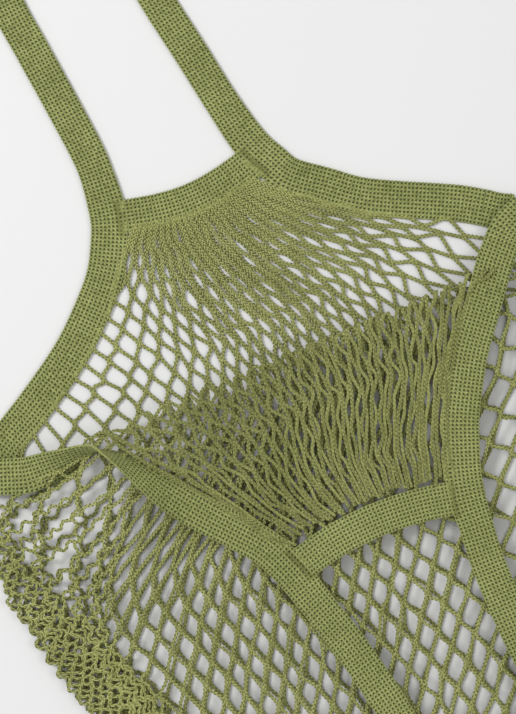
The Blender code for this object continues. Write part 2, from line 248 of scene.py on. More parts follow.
def build_cotton(tree):
    link = tree.links.new
    given = tree.nodes.new("NodeGroupInput")
    put = tree.nodes.new("NodeGroupOutput")
    place = tree.nodes.new("ShaderNodeTexCoord")
    fibre = node(tree, "ShaderNodeTexNoise", Detail=4.0, Roughness=0.65)
    patch = node(tree, "ShaderNodeTexNoise", Detail=2.0, Roughness=0.5)
    mix = node(tree, "ShaderNodeMath", operation="MULTIPLY_ADD")
    mix.inputs[1].default_value = 0.8
    soft = node(tree, "ShaderNodeMath", operation="MULTIPLY")
    soft.inputs[1].default_value = 0.2
    spread = node(tree, "ShaderNodeMapRange")
    spread.inputs["From Min"].default_value = 0.36
    spread.inputs["From Max"].default_value = 0.64
    blend = node(tree, "ShaderNodeMix", data_type="RGBA")
    painted_shade_mix = node(tree, "ShaderNodeMix", data_type="RGBA")
    sharpen = node(tree, "ShaderNodeMapRange", interpolation_type="SMOOTHSTEP")
    link(given.outputs["Fibre Scale"], fibre.inputs["Scale"])
    link(given.outputs["Patch Scale"], patch.inputs["Scale"])
    link(place.outputs["Object"], fibre.inputs["Vector"])
    link(place.outputs["Object"], patch.inputs["Vector"])
    link(patch.outputs["Fac"], soft.inputs[0])
    link(fibre.outputs["Fac"], mix.inputs[0])
    link(soft.outputs[0], mix.inputs[2])
    link(mix.outputs[0], spread.inputs["Value"])
    link(spread.outputs["Result"], blend.inputs["Factor"])
    link(given.outputs["Dark"], blend.inputs[6])
    link(given.outputs["Light"], blend.inputs[7])
    # Painted shade: where the relief is low, the colour is mixed towards the shade colour.
    link(given.outputs["Relief"], sharpen.inputs["Value"])
    link(given.outputs["Relief Low"], sharpen.inputs["From Min"])
    link(given.outputs["Relief High"], sharpen.inputs["From Max"])
    link(sharpen.outputs["Result"], painted_shade_mix.inputs["Factor"])
    link(given.outputs["Painted Shade"], painted_shade_mix.inputs[6])
    link(blend.outputs[2], painted_shade_mix.inputs[7])
    link(painted_shade_mix.outputs[2], put.inputs["Color"])
    link(fibre.outputs["Fac"], put.inputs["Height"])


build_cotton(cotton)

# %% [markdown]
# ## Stitches on the ribs
#
# Along each rib of the tape the yarn makes a chain of small V stitches. They are finer than the
# mesh, so a second group draws them from the tape's own UV map, whose unit is one knit cell: the
# distance from the rib's middle shifts the pattern, which bends each dark line into a V. The lines
# are grooves between stitches: they go into the bump, and their darkening is painted shade.

# %% The stitch group: bump and painted shade
knit_stitch = bpy.data.node_groups.new("knit_stitch", "ShaderNodeTree")
socket(knit_stitch, "Cells", "INPUT", "NodeSocketVector")
socket(knit_stitch, "Depth", "INPUT", "NodeSocketFloat", 0.45)
socket(knit_stitch, "Stitch", "OUTPUT", "NodeSocketFloat")


def build_stitch(tree):
    given = tree.nodes.new("NodeGroupInput")
    put = tree.nodes.new("NodeGroupOutput")
    parts = tree.nodes.new("ShaderNodeSeparateXYZ")
    tree.links.new(given.outputs["Cells"], parts.inputs[0])

    def math_node(operation, first, second=None, third=None):
        made = node(tree, "ShaderNodeMath", operation=operation)
        for n, value in enumerate((first, second, third)):
            if isinstance(value, float):
                made.inputs[n].default_value = value
            elif value is not None:
                tree.links.new(value, made.inputs[n])
        return made.outputs[0]

    in_rib = math_node("FRACT", math_node("ADD", parts.outputs["X"], 0.5))
    off_rib = math_node("ABSOLUTE", math_node("SUBTRACT", in_rib, 0.5))
    bent = math_node("FRACT", math_node("MULTIPLY_ADD", off_rib, 1.3, parts.outputs["Y"]))
    line = math_node("ABSOLUTE", math_node("SUBTRACT", bent, 0.5))
    # Dark lines between stitches: used as a bump, and as painted shade once multiplied into the
    # relief.
    dark = node(tree, "ShaderNodeMapRange", interpolation_type="SMOOTHSTEP")
    dark.inputs["From Min"].default_value, dark.inputs["From Max"].default_value = 0.25, 0.5
    tree.links.new(line, dark.inputs["Value"])
    cut = math_node("MULTIPLY", dark.outputs["Result"], given.outputs["Depth"])
    tree.links.new(math_node("SUBTRACT", 1.0, cut), put.inputs["Stitch"])


build_stitch(knit_stitch)


# %% Three cotton finishes


def cotton_material(name, light, dark, painted_shade, fibre_scale, rough, sheen, relief_range=(0, 1),
                    stitches=False):
    made = bpy.data.materials.new(name)
    made.use_nodes = True
    tree = made.node_tree
    shader = tree.nodes["Principled BSDF"]
    dye_and_shade = tree.nodes.new("ShaderNodeGroup")
    dye_and_shade.node_tree = cotton
    dye_and_shade.inputs["Light"].default_value = (*light, 1.0)
    dye_and_shade.inputs["Dark"].default_value = (*dark, 1.0)
    # The painted shade colour, mixed in where the relief is low.
    dye_and_shade.inputs["Painted Shade"].default_value = (*painted_shade, 1.0)
    dye_and_shade.inputs["Fibre Scale"].default_value = fibre_scale
    dye_and_shade.inputs["Relief Low"].default_value, dye_and_shade.inputs["Relief High"].default_value = relief_range
    # The relief attribute sets where shade is painted.
    relief = node(tree, "ShaderNodeAttribute", attribute_name="relief")
    bump = node(tree, "ShaderNodeBump", Strength=0.6, Distance=0.0003)
    tree.links.new(relief.outputs["Fac"], dye_and_shade.inputs["Relief"])
    tree.links.new(dye_and_shade.outputs["Color"], shader.inputs["Base Color"])
    tree.links.new(dye_and_shade.outputs["Height"], bump.inputs["Height"])
    if stitches:
        cells = node(tree, "ShaderNodeUVMap", uv_map="stitches")
        stitch = tree.nodes.new("ShaderNodeGroup")
        stitch.node_tree = knit_stitch
        # Painted shade: the stitch lines darken the tape by lowering its relief; they also go into
        # the bump.
        cut = node(tree, "ShaderNodeMath", operation="MULTIPLY")
        raised = node(tree, "ShaderNodeMath", operation="ADD")
        tree.links.new(cells.outputs["UV"], stitch.inputs["Cells"])
        tree.links.new(relief.outputs["Fac"], cut.inputs[0])
        tree.links.new(stitch.outputs["Stitch"], cut.inputs[1])
        tree.links.new(cut.outputs[0], dye_and_shade.inputs["Relief"])
        tree.links.new(dye_and_shade.outputs["Height"], raised.inputs[0])
        tree.links.new(stitch.outputs["Stitch"], raised.inputs[1])
        tree.links.new(raised.outputs[0], bump.inputs["Height"])
    tree.links.new(bump.outputs["Normal"], shader.inputs["Normal"])
    shader.inputs["Roughness"].default_value = rough
    shader.inputs["Sheen Weight"].default_value = sheen
    shader.inputs["Sheen Roughness"].default_value = 0.6
    shader.inputs["Sheen Tint"].default_value = (0.75, 0.8, 0.55, 1.0)
    shader.inputs["Specular IOR Level"].default_value = 0.25
    return made


# Each finish's third colour is its painted shade, for pits and for yarns that lie under others.
net_cotton = cotton_material("net_cotton", (0.60, 0.62, 0.24), (0.22, 0.235, 0.06),
                             (0.06, 0.066, 0.014), 900.0, 0.9, 0.1, (-0.05, 0.9))
tape_cotton = cotton_material("tape_cotton", (0.46, 0.5, 0.182), (0.185, 0.205, 0.058),
                              (0.035, 0.042, 0.01), 800.0, 0.85, 0.1, (0.02, 0.75), True)
seam_cotton = cotton_material("seam_cotton", (0.50, 0.49, 0.15), (0.26, 0.25, 0.06),
                              (0.12, 0.11, 0.03), 1500.0, 0.6, 0.05)
print("finishes:", net_cotton.name, tape_cotton.name, seam_cotton.name)

# %% [markdown]
# ## Knitted tape
#
# The tape is a narrow warp knit: nine ribs run along it, joined by small bars, with a deep pit
# between each pair of bars. A flat grid is given a second face with Solidify, and then laid along
# the tape's line, with the ribs raised and a pit pressed into every cell from both faces. How
# deep each point lies is kept as an attribute, which the finish uses to paint shade into the pits.

# %% The tape's flat knit
STITCH = 2.2  # one hole's length along the tape
RIBS = 9
CELL = 3  # grid steps to a cell, each way


def flat_knit(rows):
    """A unit strip of knit cells, with two faces a unit apart."""
    bm = bmesh.new()
    bmesh.ops.create_grid(bm, x_segments=RIBS * CELL, y_segments=rows * CELL, size=0.5)
    bmesh.ops.solidify(bm, geom=bm.faces[:], thickness=1.0)
    bmesh.ops.recalc_face_normals(bm, faces=bm.faces[:])
    mesh = bpy.data.meshes.new("flat_knit")
    bm.to_mesh(mesh)
    bm.free()
    mesh.polygons.foreach_set("use_smooth", [True] * len(mesh.polygons))
    return mesh


def read_points(mesh):
    points = np.zeros(len(mesh.vertices) * 3)
    mesh.vertices.foreach_get("co", points)
    return points.reshape(-1, 3)


def write_points(mesh, points):
    mesh.vertices.foreach_set("co", np.ascontiguousarray(points, float).ravel())
    mesh.update()


def write_relief(mesh, values):
    """Keep how proud each point stands, from 0 in a pit to 1 on top, for the finish's painted
    shade.
    """
    relief = mesh.attributes.new("relief", "FLOAT", "POINT")
    relief.data.foreach_set("value", np.ascontiguousarray(np.clip(values, 0, 1), np.float32))


def write_cells(mesh, across, along):
    """A UV map whose unit is one knit cell."""
    corners = np.zeros(len(mesh.loops), int)
    mesh.loops.foreach_get("vertex_index", corners)
    layer = mesh.uv_layers.new(name="stitches")
    cells = np.column_stack([across[corners], along[corners]])
    layer.data.foreach_set("uv", np.ascontiguousarray(cells, np.float32).ravel())


# %% [markdown]
# Laying the strip: each point keeps its place across the tape and along it. The line's columns
# are x, y, height, roll in degrees and width, so a tape can climb, twist over and narrow where
# it is gathered. The ribs are thicker than the bars, and the two edges are a little thinner.

# %% Lay the tape along its line
TAPE_BODY = 2.0  # thickness at a rib
BAR_HIGH = 0.7  # how proud a bar stands, beside a rib's 1
DRAWN_IN = 0.25  # how far a cell's grid lines close in on its pit
WHOLE = 1.0001  # keeps the last step of a line from being dropped


def tape_line(path):
    """A tape's line, in whole stitches."""
    line = smooth_line(path, STITCH / CELL)
    rows = (len(line) - 1) // CELL
    return smooth_line(path, line_length(line) / (rows * CELL) * WHOLE)[:rows * CELL + 1]


def drawn_in(cells):
    """Grid lines inside a cell, drawn towards its middle so that the pits are small."""
    part = cells - np.floor(cells + 1e-4)
    return cells + np.where(part > 0.01, (0.5 - part) * DRAWN_IN, 0)


def lay_tape(name, line, finish, crease=None):
    rows = (len(line) - 1) // CELL
    mesh = flat_knit(rows)
    co = read_points(mesh)
    flat_across = (co[:, 0] + 0.5) * RIBS
    flat_along = (co[:, 1] + 0.5) * rows
    across, along = drawn_in(flat_across), drawn_in(flat_along)
    write_cells(mesh, flat_across, flat_along)
    skin = np.where(co[:, 2] < -0.5, -0.5, 0.5)
    rib = np.cos(math.pi * flat_across) ** 2
    bar = np.cos(math.pi * flat_along) ** 2
    edge = 2 * across / RIBS - 1
    proud = np.maximum(rib * (0.86 + 0.14 * (1 - bar)), BAR_HIGH * bar)
    proud = np.maximum(proud, 0.8 * (np.abs(edge) > 0.99))
    thick = TAPE_BODY * (0.28 + 0.72 * proud) * (1 - 0.3 * edge ** 10)
    lift = skin * thick
    index = np.clip(along * CELL, 0, rows * CELL)
    steps = np.arange(rows * CELL + 1)
    ahead = np.gradient(line[:, :2], axis=0)
    ahead /= np.linalg.norm(ahead, axis=1, keepdims=True)
    at = [np.interp(index, steps, column) for column in line.T]
    tx, ty = (np.interp(index, steps, ahead[:, k]) for k in (0, 1))
    scallop = 0.22 * np.cos(2 * math.pi * along) * np.sign(edge) * (np.abs(edge) > 0.99)
    wide = edge * at[4] / 2 + scallop
    roll = np.radians(at[3])
    side = wide * np.cos(roll) + lift * np.sin(roll)
    up = wide * np.sin(roll) - lift * np.cos(roll)
    x, y, z = at[0] - ty * side, at[1] + tx * side, at[2] + up
    if crease:
        way, crease_x, low, high = crease
        past, z = roll_over(way * x - crease_x, z - low, low, (high - low) / 2)
        x = way * (crease_x + past)
    write_points(mesh, to_frame(np.column_stack([x, y, z])))
    # Painted shade: the finish darkens the pits between ribs and bars.
    write_relief(mesh, (proud - 0.15) / 0.7)
    mesh.materials.append(finish)
    tape = bpy.data.objects.new(name, mesh)
    bpy.context.collection.objects.link(tape)
    print(name, round(line_length(line)), "mm,", rows, "stitches")
    return tape, line_length(line) * MM, line


# %% [markdown]
# ## The back tapes and the back handle
#
# One tape binds each side of the opening. It starts as the handle's strap, passes the neck's
# corner, runs down the opening's edge and turns round the side of the bag. Modelling strap and
# edge as one strip keeps the ribs unbroken, as they are on the real bag.

# %% Back tapes
STRAP, TAPE, TAPE_MID = 19.5, 21.0, 1.15
SIDE_LEFT, SIDE_RIGHT = 171.0, 168.0  # where the edge tapes crease round the sides


def columns(points, height, width, roll=0.0):
    """Give plan points their height, roll and width where they have none of their own."""
    defaults = (height, roll, width)
    return [tuple(p) + defaults[len(p) - 2:] for p in points]


back_left_strap = columns([(-14.8, 207.6), (-26, 206.3), (-38.5, 199.4), (-51, 178.6), (-54, 144.4),
                           (-51, 112.1), (-47.7, 79.8), (-44.8, 47.5), (-44.8, 32.3)],
                          TAPE_MID, STRAP)
back_left_edge = columns([(-46.5, 15.5), (-49, 4.3), (-53.1, -5.4), (-61.4, -20.3),
                          (-73.4, -34.2), (-96.7, -55.1), (-125.6, -73.8), (-152.2, -88.8)],
                         TAPE_MID, TAPE)
back_left_tape, back_left_long, back_left_line = lay_tape(
    "back_left_tape", tape_line(back_left_strap + back_left_edge), tape_cotton)

back_right_strap = columns([(-17.2, 207.6), (-6, 206.3), (6.4, 199.4), (17.4, 178.6), (22.4, 144.4),
                            (26.1, 112.1), (32.3, 76), (37.5, 43.7)], TAPE_MID, STRAP)
back_right_edge = columns([(43.4, 15.5), (50.4, 0), (57.4, -11.8), (73.6, -24.8),
                           (88.3, -36.7), (104.7, -46.1), (137.7, -62.7), (152.2, -71.7)],
                          TAPE_MID, TAPE)
back_right_tape, back_right_long, back_right_line = lay_tape(
    "back_right_tape", tape_line(back_right_strap + back_right_edge), tape_cotton)

for tape, side, long in ((back_left_tape, "left", back_left_long),
                         (back_right_tape, "right", back_right_long)):
    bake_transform(tape)
    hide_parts(f"{side}_edge_tape_back", f"back_handle_{side}_strap")

# %% [markdown]
# ## The front tapes
#
# The same tape comes back over the side and binds the front neck, which is folded outwards. On
# the left it runs along the body first and then rolls over to reach the flap, so it is seen
# almost on edge there. On the right it goes from the side straight on to the flap.

# %% Front tapes
SIDE_TOP = 6.2  # the tape's height where it comes back over the side


def mirrored(points, crease_x, way):
    """Plan points laid flat past a crease, with the cloth that the roll itself takes up."""
    rolled = math.pi * (SIDE_TOP - TAPE_MID) / 2
    return [(way * (2 * crease_x + rolled) - p[0],) + tuple(p[1:]) for p in points]


left_low = columns([(-152.2, -88.8), (-171, -100)], TAPE_MID, TAPE)
left_high = [(-167.4, -104.2, 6.4, 0, 21), (-156, -108.5, 7.4, 0, 21),
             (-146.5, -111.2, 8.4, 8, 21), (-128, -112.0, 10.6, 38, 20),
             (-109.4, -111.8, 13.0, 68, 18), (-102.2, -116.0, 13.8, 95, 16),
             (-91.7, -128.6, 13.6, 125, 17.5), (-80.8, -146.8, 13.4, 148, 20),
             (-70.7, -161.5, 13.1, 172, 21), (-60.5, -174.5, 13.1, 180, 21),
             (-50.8, -186.3, 13.1, 180, 21), (-40.7, -199, 13.1, 180, 21)]
left_strap = [(-35.1, -208.9, 13.1, 180, 21), (-29.5, -223, 13.1, 180, 21),
              (-26, -237, 13.1, 180, 19.5)] + columns(
    [(-21.5, -253), (-15.5, -275.8), (-7.5, -317.6), (-2.5, -357.5), (1.5, -387.9),
     (11.5, -411.0), (24.5, -420.8), (37.2, -422.4)], 13.1, STRAP, 180.0)
right_high = [(153.4, -94.8, 6.5, 0, 21), (145.1, -103.5, 8.8, 0, 21),
              (135.1, -115.6, 12.4, 0, 21), (125, -128, 13.1, 0, 21),
              (111.7, -144.7, 13.1, 0, 21), (100.1, -163.4, 13.1, 0, 21),
              (91.4, -179.5, 13.1, 0, 21), (84.5, -197, 13.1, 0, 21)]
right_strap = [(80.5, -209, 13.1, 0, 21), (77.6, -223, 13.1, 0, 21),
               (76.2, -239, 13.1, 0, 19.5)] + columns(
    [(74.3, -260.6), (74.3, -296.7), (76.3, -340.4), (73.3, -384.1), (63.0, -410.0),
     (48.5, -420.8), (34.8, -422.4)], 13.1, STRAP)


def cut_tape(line, y):
    """A run of tape as two pieces, parted between two stitches."""
    at = CELL * round(int(np.argmin(np.abs(line[:, 1] - y))) / CELL)
    return line[:at + 1], line[at:]


left_flap_line, left_strap_line = cut_tape(tape_line(left_high + left_strap), -199.0)
right_flap_line, right_strap_line = cut_tape(tape_line(right_high + right_strap), -197.0)
print("front tapes:", round(line_length(left_flap_line)), round(line_length(right_flap_line)))

# %% [markdown]
# The turn round the side is a crease: the tape comes in low, rolls over and leaves on top. It is
# laid out flat past the crease and rolled over it, so that no stitch is stretched.

# %% The turns round the sides


def side_turn(name, side, crease_x, low_points, high_points):
    flat = columns(low_points, TAPE_MID, TAPE) + columns(
        mirrored(high_points, crease_x, side), TAPE_MID, TAPE)
    crease = (side, crease_x, TAPE_MID, SIDE_TOP)
    return lay_tape(name, tape_line(flat), tape_cotton, crease)


left_turn, left_turn_long, _ = side_turn(
    "left_tape_turn", -1, SIDE_LEFT, [(-152.2, -88.8), (-165, -96.5)],
    [(-166, -104.8)])
right_turn, right_turn_long, _ = side_turn(
    "right_tape_turn", 1, SIDE_RIGHT, [(152.2, -71.7), (162, -78.5)],
    [(161, -88.5), (151.7, -96.3)])
for turn, side, long in ((left_turn, "left", left_turn_long),
                         (right_turn, "right", right_turn_long)):
    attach(turn, "bag")
    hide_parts(f"{side}_edge_tape_turn")

left_front_tape, left_front_long, _ = lay_tape(
    "left_front_tape", left_flap_line, tape_cotton)
right_front_tape, right_front_long, _ = lay_tape(
    "right_front_tape", right_flap_line, tape_cotton)
CREASE_Z = 11.6  # the fold's height, where the flap hinges
CROSSINGS = {"left": ((-118, -112), (-94, -130)), "right": ((146, -102), (134, -117))}
for tape, side, long in ((left_front_tape, "left", left_front_long),
                         (right_front_tape, "right", right_front_long)):
    start, end = (to_frame((*p, CREASE_Z)) for p in CROSSINGS[side])
    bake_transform(tape)
    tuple(start)
    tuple(end)
    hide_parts(f"{side}_edge_tape_front", f"{side}_flap_tape")

# %% [markdown]
# ## The front handle
#
# The flap's side tapes run on past the front neck as the front handle, which swings up about a
# line across its two straps. They are the same runs of tape, parted between two stitches, so
# that the ribs meet exactly.

# %% Front handle
for side, line in (("left", left_strap_line), ("right", right_strap_line)):
    strap, long, _ = lay_tape(f"front_handle_{side}", line, tape_cotton)
    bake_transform(strap)
    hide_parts(f"front_handle_{side}_strap")

# %% [markdown]
# ## The neck bands
#
# A short tape closes the top of each panel. The net's gathered stitches are caught along its
# lower edge, and its ends are sewn under the side tapes. The back band sags a little in the
# middle, and the front one, which is folded over, arches the other way.

# %% Neck bands
BAND_Z, BAND_END_Z = 12.9, 11.8  # the front band, and its ends under the side tapes
back_band = columns([(-42.5, 4.5), (-20, -0.6), (0, -2.5), (20, -0.6), (42.5, 4.5)],
                    TAPE_MID - 0.15, STRAP)
front_band = columns([(-27, -220.2, BAND_END_Z, 0, STRAP), (-19, -217.4), (0, -213.6),
                      (24, -212), (48, -213.6), (69, -217.4),
                      (77, -219.6, BAND_END_Z, 0, STRAP)], BAND_Z, STRAP)
for name, path, body in (("back_neck_band", back_band, "bag"),
                         ("front_neck_band", front_band, "front_flap")):
    band, long, _ = lay_tape(name + "_knit", tape_line(path), tape_cotton)
    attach(band, body)
    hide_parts(name)

# %% [markdown]
# ## How a diamond net hangs
#
# A net is rows of knots joined by legs of one length. Knots are first spread evenly between the
# panel's four edges. Then every leg pulls like a spring towards its knitted length, many times
# over, while the knots on the tapes, the bands and the sides stay sewn where they are. So the
# diamonds close at the gathered neck and open over the body, as on the real bag.

# %% Spread the knots, then let the legs pull


def even(points, count, pace=None):
    """count + 1 points along a smooth line, at equal distances or in the given proportions."""
    line = smooth_line(points, 1.0)
    steps = np.ones(count) if pace is None else pace[:count]
    along = np.concatenate([[0], np.cumsum(steps)]) / steps.sum() * (len(line) - 1)
    return np.column_stack([np.interp(along, np.arange(len(line)), c) for c in line[:, :2].T])


SPANS, ROWS = 28, 38
PACE = np.interp(np.arange(ROWS), (0, 9, 14, ROWS), (1, 1, 1.3, 1.3))  # rows open over the body
LEG = 10.0  # a leg's length near the neck


class Lattice:
    """Rows of knots; every second row is shifted by half a diamond. A column may start late."""

    def __init__(self, spans, rows, starts):
        self.spans, self.rows = spans, rows
        self.first = np.interp(np.arange(rows + 1), *zip(*starts))
        self.column = (np.arange(spans + 1)[None, :] + 0.5 * (np.arange(rows + 1) % 2)[:, None])
        near = self.column - self.first[:, None]
        self.used = (near > -0.01) & (self.column <= spans)
        self.sewn = self.used & ((np.abs(near) < 0.01) | (self.column == spans))
        self.sewn[0] = self.sewn[-1] = True
        self.sewn &= self.used

    def spread(self, top, bottom, left, right):
        """Knots evenly between four edges."""
        u = (self.column - self.first[:, None]) / (self.spans - self.first[:, None])
        u = np.clip(u, 0, 1)[..., None]
        v = (np.concatenate([[0], np.cumsum(PACE)]) / PACE.sum())[:, None, None]

        def on(edge):
            n = np.linspace(0, 1, len(edge))
            return np.stack([np.interp(u[..., 0], n, edge[:, k]) for k in (0, 1)], axis=-1)

        corner = ((1 - u) * (1 - v) * top[0] + u * (1 - v) * top[-1]
                  + (1 - u) * v * bottom[0] + u * v * bottom[-1])
        self.knots = ((1 - v) * on(top) + v * on(bottom) + (1 - u) * left[:, None, :]
                      + u * right[:, None, :] - corner)

    def legs(self):
        """Pairs of knots that one leg joins."""
        pairs, wide = [], self.spans + 1
        for j in range(self.rows):
            for i in np.flatnonzero(self.used[j]):
                for other in ((i - 1, i) if j % 2 == 0 else (i, i + 1)):
                    if 0 <= other < wide and self.used[j + 1, other]:
                        pairs.append((j * wide + i, (j + 1) * wide + other))
        return np.array(pairs)

    def relax(self, steps=900, smooth=0.06):
        flat = self.knots.reshape(-1, 2)
        pairs, count = self.legs(), len(flat)
        leg = LEG * PACE[pairs[:, 0] // (self.spans + 1)]
        free = (self.used & ~self.sewn).ravel()
        neighbours = np.maximum(np.bincount(pairs.ravel(), minlength=count), 1)[:, None]
        across, down = np.zeros_like(self.used), np.zeros_like(self.used)
        across[:, 1:-1] = self.used[:, :-2] & self.used[:, 2:]
        down[2:-2] = self.used[:-4] & self.used[4:]
        for _ in range(steps):
            gap = flat[pairs[:, 1]] - flat[pairs[:, 0]]
            size = np.linalg.norm(gap, axis=1)
            pull = gap * np.maximum(1 - leg / np.maximum(size, 1e-6), 0)[:, None]
            move = np.stack([np.bincount(pairs[:, 0], pull[:, k], count)
                             - np.bincount(pairs[:, 1], pull[:, k], count)
                             for k in (0, 1)], axis=1)
            grid = flat.reshape(self.rows + 1, self.spans + 1, 2)
            even_out = np.zeros_like(grid)
            even_out[:, 1:-1] = (grid[:, :-2] + grid[:, 2:]) / 2 - grid[:, 1:-1]
            even_out[~across] = 0
            drop = (grid[:-4] + grid[4:]) / 2 - grid[2:-2]
            even_out[2:-2][down[2:-2]] += drop[down[2:-2]]
            flat[free] += (0.4 * move / neighbours + smooth * even_out.reshape(-1, 2))[free]

    def gather(self, rows, to_middle, to_right):
        """Crowd some rows' knots towards their middle or their right-hand end."""
        share = np.interp(np.arange(self.rows + 1), rows, (0, 1, 1, 0))
        for j in np.flatnonzero(share > 0):
            used = self.used[j]
            line = self.knots[j, used]
            u = np.linspace(0, 1, len(line))
            moved = u + share[j] * (to_middle * np.sin(2 * math.pi * u) / 2
                                    + to_right * np.sin(math.pi * u))
            self.knots[j, used] = np.column_stack([np.interp(moved, u, c) for c in line.T])


# %% [markdown]
# ## A cord of the net
#
# Each cord zigzags from the neck to the bottom and lies beside its neighbour at every knot. The
# cord is a narrow plait of three yarns, whose crossings show as small slanted stitches. So the
# knots give a middle line, and three thin round yarns weave about it in a flat figure of eight.

# %% One plaited cord
CORD_HALF = 1.08  # from a knot's middle to a cord's
KNOT_LONG = 4.4
PLAIT_SIDE, PLAIT_LIFT = 0.74, 0.38  # how far a yarn weaves sideways and up
YARN_RADIUS = 0.46
CORD_STEP = 0.9
PLAIT = 8 * CORD_STEP
PACKED_FROM, PACKED_AT = 8.5, 4.5  # millimetres between columns
RIDE_UP = 0.25  # how far packed cords ride over and under each other
WAVE = 2.4  # how far a bunched cord waves to either side


def crowding(net):
    """How closely the columns lie at each knot, from 0 where open to 1 where packed."""
    gap = np.linalg.norm(np.diff(net.knots, axis=1), axis=2)
    pair = net.used[:, 1:] & net.used[:, :-1]
    gap = np.where(pair, gap, np.inf)
    least = np.minimum(np.pad(gap, ((0, 0), (1, 0)), constant_values=np.inf),
                       np.pad(gap, ((0, 0), (0, 1)), constant_values=np.inf))
    return np.clip((PACKED_FROM - least) / (PACKED_FROM - PACKED_AT), 0, 1)


def cord_knots(net, column, lean, packed):
    """The knots along one cord, how packed each is, and the side that the cord lies on."""
    path, sides = [], []
    for j in range(net.rows + 1):
        i = column if lean > 0 or j % 2 == 0 else column - 1
        if i <= net.spans and net.used[j, i]:
            path.append((*net.knots[j, i], packed[j, i], net.bunched[j, i]))
            sides.append(lean if j % 2 == 0 else -lean)
    return np.array(path), np.array(sides)


def cord_line(knots, sides, rng):
    path = knots[:, :2]
    column = np.vstack([path[:1], (path[:-2] + 2 * path[1:-1] + path[2:]) / 4, path[-1:]])
    way = np.gradient(column, axis=0)
    way /= np.maximum(np.linalg.norm(way, axis=1, keepdims=True), 1e-6)
    side = np.column_stack([-way[:, 1], way[:, 0]]) * sides[:, None]
    half = KNOT_LONG / 2 * rng.uniform(0.75, 1.15, (len(path), 1))
    off = CORD_HALF * rng.uniform(0.85, 1.15, (len(path), 1)) * (1 - 0.15 * knots[:, 2:3])
    points = np.empty((2 * len(path), 4))
    points[0::2, :2] = path - way * half + side * off
    points[1::2, :2] = path + way * half + side * off
    points[:, 2:] = np.repeat(knots[:, 2:], 2, axis=0)
    line = smooth_line(points, CORD_STEP)
    # where the side is bunched, a cord has more length than room, and lies in small waves
    way = np.gradient(line[:, :2], axis=0)
    way /= np.maximum(np.linalg.norm(way, axis=1, keepdims=True), 1e-6)
    turns = np.cumsum(CORD_STEP / rng.uniform(8, 13) * rng.uniform(0.7, 1.3, len(line)))
    wave = WAVE * line[:, 3] * np.sin(2 * math.pi * (turns + rng.uniform()))
    line[:, :2] += np.column_stack([-way[:, 1], way[:, 0]]) * wave[:, None]
    return line


def plait(cord, lift, trim, rng):
    """Three yarns' (x, y, height, relief) about a flat line; the relief sets their painted shade.

    lift is up or down, +1 or -1. trim is how much narrower a packed plait is, or wider below zero.
    """
    line, packed = cord[:, :2], np.clip(cord[:, 2], 0, 1)
    lift = lift * (0.12 + RIDE_UP * packed)
    # Painted shade: where cords are packed, the ones underneath are darkened and the ones on top
    # lightened.
    packed_shade = np.where(lift > 0, 0.2, -0.02) * packed
    way = np.gradient(line, axis=0)
    way /= np.maximum(np.linalg.norm(way, axis=1, keepdims=True), 1e-6)
    side = np.column_stack([-way[:, 1], way[:, 0]])
    phase = 2 * math.pi * np.arange(len(line)) * CORD_STEP / PLAIT + rng.uniform(0, 6.28)
    for third in (0, 1, 2):
        turn = phase + third * 2 * math.pi / 3
        across = PLAIT_SIDE * (1 - trim * packed) * np.sin(turn)
        high = PLAIT_LIFT * np.sin(2 * turn) + lift
        # Painted shade: a yarn is darkened where it passes under the other two.
        relief = 0.5 + 0.5 * np.sin(2 * turn) + packed_shade
        yield np.column_stack([line + side * across[:, None], high, relief])


# %% [markdown]
# Blender's curve bevel turns each yarn's line into a round thread. Many yarns share one curve
# object, which is then made a mesh and has its ends closed.

# %% Yarns to a mesh


def yarn_mesh(name, yarns, finish, radius=YARN_RADIUS):
    """Round threads along (x, y, z, relief) lines."""
    curve = bpy.data.curves.new(name, "CURVE")
    curve.dimensions = "3D"
    curve.bevel_depth = radius * MM
    curve.bevel_resolution = 0
    for points in yarns:
        spline = curve.splines.new("POLY")
        spline.points.add(len(points) - 1)
        four = np.column_stack([to_frame(points[:, :3]), np.ones(len(points))])
        spline.points.foreach_set("co", four.ravel())
    holder = bpy.data.objects.new(name, curve)
    bpy.context.collection.objects.link(holder)
    ready = bpy.context.evaluated_depsgraph_get()
    mesh = bpy.data.meshes.new_from_object(holder.evaluated_get(ready))
    bpy.data.objects.remove(holder)
    bpy.data.curves.remove(curve)
    relief = np.concatenate([points[:, 3] for points in yarns])
    write_relief(mesh, np.repeat(relief, len(mesh.vertices) // len(relief)))
    bm = bmesh.new()
    bm.from_mesh(mesh)
    bmesh.ops.holes_fill(bm, edges=[e for e in bm.edges if e.is_boundary], sides=4)
    bmesh.ops.recalc_face_normals(bm, faces=bm.faces[:])
    bm.to_mesh(mesh)
    bm.free()
    mesh.name = name
    mesh.materials.clear()
    mesh.materials.append(finish)
    mesh.polygons.foreach_set("use_smooth", [True] * len(mesh.polygons))
    made = bpy.data.objects.new(name, mesh)
    bpy.context.collection.objects.link(made)
    print(name, len(mesh.polygons), "faces")
    return made


# %% [markdown]
# ## The back panel
#
# Its top edge is the left tape's inner edge and the neck band together: the left cords start
# along the tape, and the rest are gathered into the band. The right edge follows the right tape,
# and then both sides follow the body's outline down to the bottom seam.

# %% Panel edges


def inner_edge(line, way, inset, first_y, last_x):
    """A tape's inner edge, from the neck's corner to the turn at the side."""
    ahead = np.gradient(line[:, :2], axis=0)
    ahead /= np.linalg.norm(ahead, axis=1, keepdims=True)
    edge = line[:, :2] + way * inset * np.column_stack([-ahead[:, 1], ahead[:, 0]])
    keep = (edge[:, 1] < first_y) & (np.abs(edge[:, 0]) < last_x)
    return edge[keep][::12]


